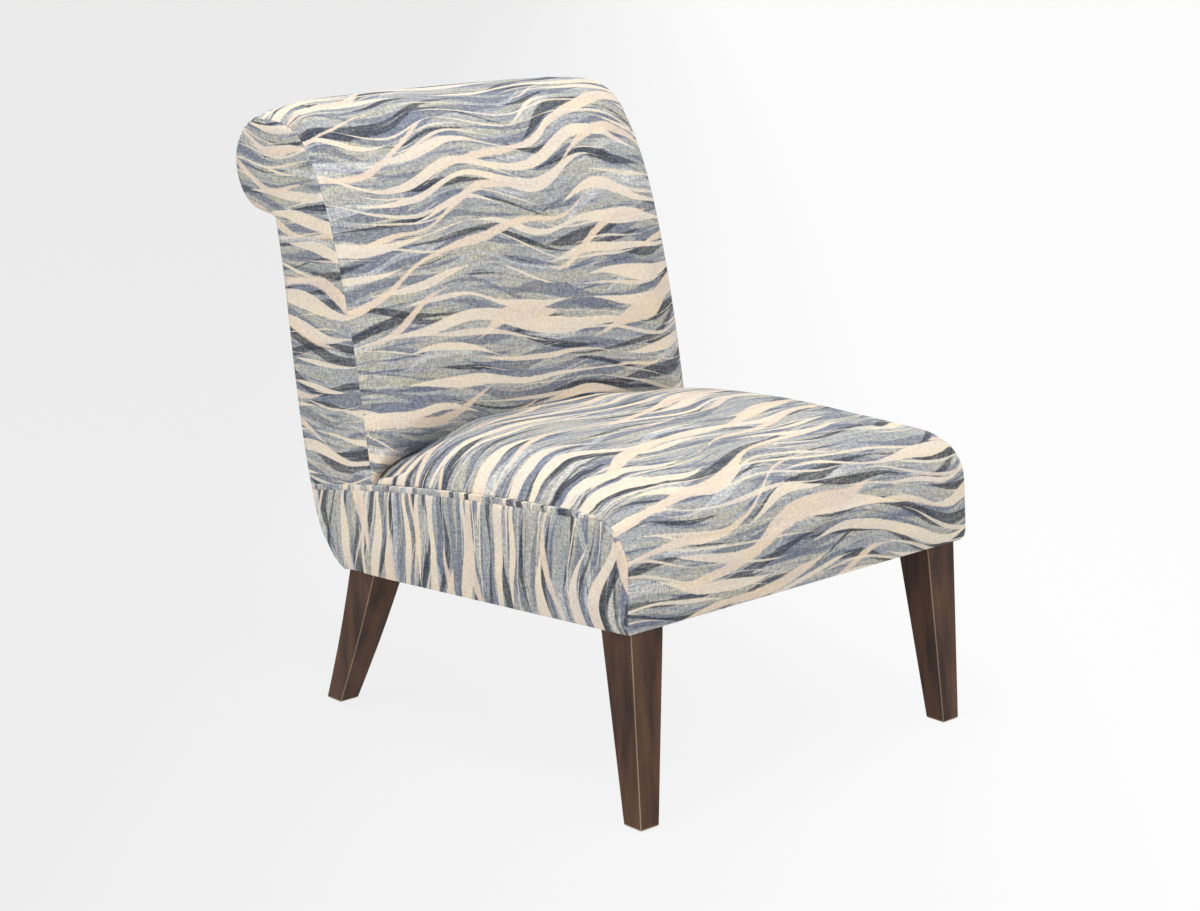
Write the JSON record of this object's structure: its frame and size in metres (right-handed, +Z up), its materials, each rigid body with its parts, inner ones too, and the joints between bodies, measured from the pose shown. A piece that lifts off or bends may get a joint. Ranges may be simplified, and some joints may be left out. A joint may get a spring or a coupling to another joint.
{
  "type": "roll-back slipper chair",
  "caption": "Armless upholstered slipper chair with a sprung waterfall-front seat, a raked back rolled over at the top, and square tapered legs, the rear ones swept back.",
  "frame": {"origin": "centre of the bounding box's bottom face, on the floor", "axes": "front faces -Y, +X to the right of someone who looks at the front, +Z up; left and right in node names are seen from the front"},
  "size_m": [0.6238, 0.8424, 0.824],
  "materials": {
    "patterned_fabric": "linen-textured print in cream, sage grey and slate blue",
    "espresso_wood": "dark espresso stain, satin lacquer",
    "frame_wood": "raw kiln-dried hardwood and plywood",
    "foam": "polyurethane foam under fibre wrap",
    "spring_steel": "plain drawn wire and zinc-plated fasteners",
    "webbing": "woven elastic webbing",
    "cambric": "black non-woven cloth",
    "cardboard": "upholsterer's board",
    "nylon": "dark moulded nylon"
  },
  "bodies": {
    "root": {"side_rail_left": "frame_wood", "side_rail_right": "frame_wood", "back_post_left": "frame_wood", "back_post_right": "frame_wood", "front_rail": "frame_wood", "rear_rail": "frame_wood", "crest_rail": "frame_wood", "scroll_rail": "frame_wood", "neck_rail": "frame_wood", "lower_back_rail": "frame_wood", "corner_block_front_left": "frame_wood", "corner_block_front_right": "frame_wood", "corner_block_rear_left": "frame_wood", "corner_block_rear_right": "frame_wood", "leg_front_left": "espresso_wood", "leg_front_right": "espresso_wood", "leg_rear_left": "espresso_wood", "leg_rear_right": "espresso_wood", "hanger_bolt_front_left": "spring_steel", "hanger_bolt_front_right": "spring_steel", "hanger_bolt_rear_left": "spring_steel", "hanger_bolt_rear_right": "spring_steel", "tee_nut_front_left": "spring_steel", "tee_nut_front_right": "spring_steel", "tee_nut_rear_left": "spring_steel", "tee_nut_rear_right": "spring_steel", "glide_front_left": "nylon", "glide_front_right": "nylon", "glide_rear_left": "nylon", "glide_rear_right": "nylon", "seat_spring_1": "spring_steel", "seat_spring_2": "spring_steel", "seat_spring_3": "spring_steel", "seat_spring_4": "spring_steel", "spring_clip_front_1": "spring_steel", "spring_clip_front_2": "spring_steel", "spring_clip_front_3": "spring_steel", "spring_clip_front_4": "spring_steel", "spring_clip_rear_1": "spring_steel", "spring_clip_rear_2": "spring_steel", "spring_clip_rear_3": "spring_steel", "spring_clip_rear_4": "spring_steel", "spring_tie_wire": "spring_steel", "seat_deck": "cambric", "seat_foam": "foam", "seat_cover": "patterned_fabric", "seat_border_left": "patterned_fabric", "seat_border_right": "patterned_fabric", "back_facing_left": "patterned_fabric", "back_facing_right": "patterned_fabric", "seat_welt_left": "patterned_fabric", "seat_welt_right": "patterned_fabric", "back_strap_1": "webbing", "back_strap_2": "webbing", "back_strap_3": "webbing", "roll_board": "cardboard", "back_foam": "foam", "inside_back_cover": "patterned_fabric", "outside_back": "patterned_fabric", "dust_cover": "cambric"}
  },
  "joints": []
}
